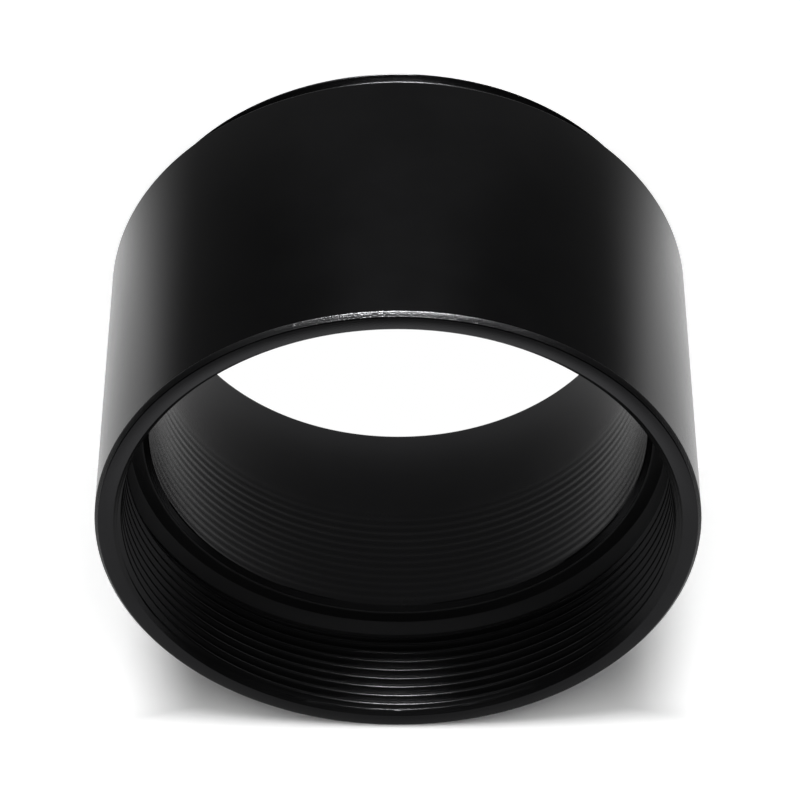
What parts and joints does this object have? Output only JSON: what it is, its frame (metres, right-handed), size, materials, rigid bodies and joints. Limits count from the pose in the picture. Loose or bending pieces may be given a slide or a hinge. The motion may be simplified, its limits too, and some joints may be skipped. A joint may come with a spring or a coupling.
{
  "type": "extension tube",
  "caption": "Short turned tube that adds spacing in an optical train: internally threaded mouth, baffled through bore, externally threaded spigot of the same thread.",
  "frame": {"origin": "centre of the male end's face, which the tube stands on, z = 0", "axes": "+Z along the bore axis, from the male end up to the female mouth; the tube is round, so +X and +Y are any two directions across it, and the picture looks in from -Y with its own up along -Y"},
  "size_m": [0.0544, 0.0544, 0.034],
  "materials": {
    "black_anodised_aluminium": "fine bead-blasted and black anodised, satin"
  },
  "bodies": {
    "root": {"extension_tube": "black_anodised_aluminium"}
  },
  "joints": []
}
